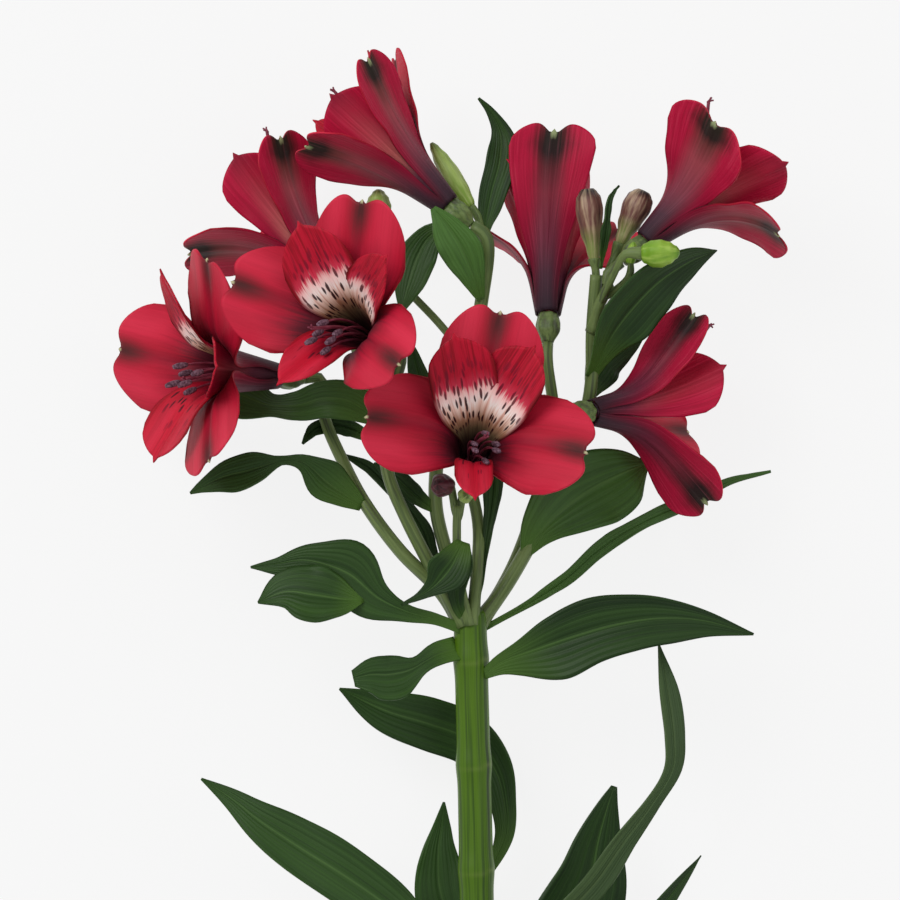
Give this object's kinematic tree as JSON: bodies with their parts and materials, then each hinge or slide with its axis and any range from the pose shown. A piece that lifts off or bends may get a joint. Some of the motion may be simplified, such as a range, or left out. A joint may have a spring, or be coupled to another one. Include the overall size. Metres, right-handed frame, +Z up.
{
  "type": "cut alstroemeria stem",
  "caption": "Cut alstroemeria stem lying on a surface: leafy green stem, branching flower stalks, open funnel-shaped crimson blooms, buds and narrow leaves.",
  "frame": {"origin": "on the surface the stem lies on, under the middle of its bounding box", "axes": "+Y along the stem from its cut end to the flowers, +Z up from the surface"},
  "size_m": [0.1754, 0.422, 0.0963],
  "materials": {
    "stalk_green": "smooth, fresh green, slightly waxy",
    "petal_red": "velvety crimson petal",
    "stamen_maroon": "dull maroon-grey filaments and anthers",
    "bud_green": "smooth green bud",
    "bud_pink": "dull pinkish-green bud",
    "bud_maroon": "dark maroon bud",
    "leaf_green": "satin dark green leaf with fine parallel veins"
  },
  "bodies": {
    "root": {"stem": "stalk_green", "bloom_1_tepals": "petal_red", "bloom_1_stamens": "stamen_maroon", "bloom_2_tepals": "petal_red", "bloom_2_stamens": "stamen_maroon", "bloom_3_tepals": "petal_red", "bloom_3_stamens": "stamen_maroon", "bloom_4_tepals": "petal_red", "bloom_4_stamens": "stamen_maroon", "bloom_5_tepals": "petal_red", "bloom_5_stamens": "stamen_maroon", "bloom_6_tepals": "petal_red", "bloom_6_stamens": "stamen_maroon", "bloom_7_tepals": "petal_red", "bloom_7_stamens": "stamen_maroon", "bloom_8_tepals": "petal_red", "bloom_8_stamens": "stamen_maroon", "bud_1": "bud_green", "bud_2": "bud_green", "bud_3": "bud_pink", "bud_4": "bud_pink", "bud_5": "bud_green", "bud_6": "bud_green", "bud_7": "bud_maroon", "bud_8": "bud_green", "leaf_1": "leaf_green", "leaf_2": "leaf_green", "leaf_3": "leaf_green", "leaf_4": "leaf_green", "leaf_5": "leaf_green", "leaf_6": "leaf_green", "leaf_7": "leaf_green", "leaf_8": "leaf_green", "leaf_9": "leaf_green", "leaf_10": "leaf_green", "leaf_11": "leaf_green", "leaf_12": "leaf_green", "leaf_13": "leaf_green", "leaf_14": "leaf_green", "leaf_15": "leaf_green", "leaf_16": "leaf_green", "leaf_17": "leaf_green", "leaf_18": "leaf_green", "leaf_19": "leaf_green", "leaf_20": "leaf_green", "leaf_21": "leaf_green", "leaf_22": "leaf_green", "leaf_23": "leaf_green", "leaf_24": "leaf_green", "leaf_25": "leaf_green", "leaf_26": "leaf_green", "leaf_27": "leaf_green", "leaf_28": "leaf_green", "leaf_29": "leaf_green"}
  },
  "joints": []
}
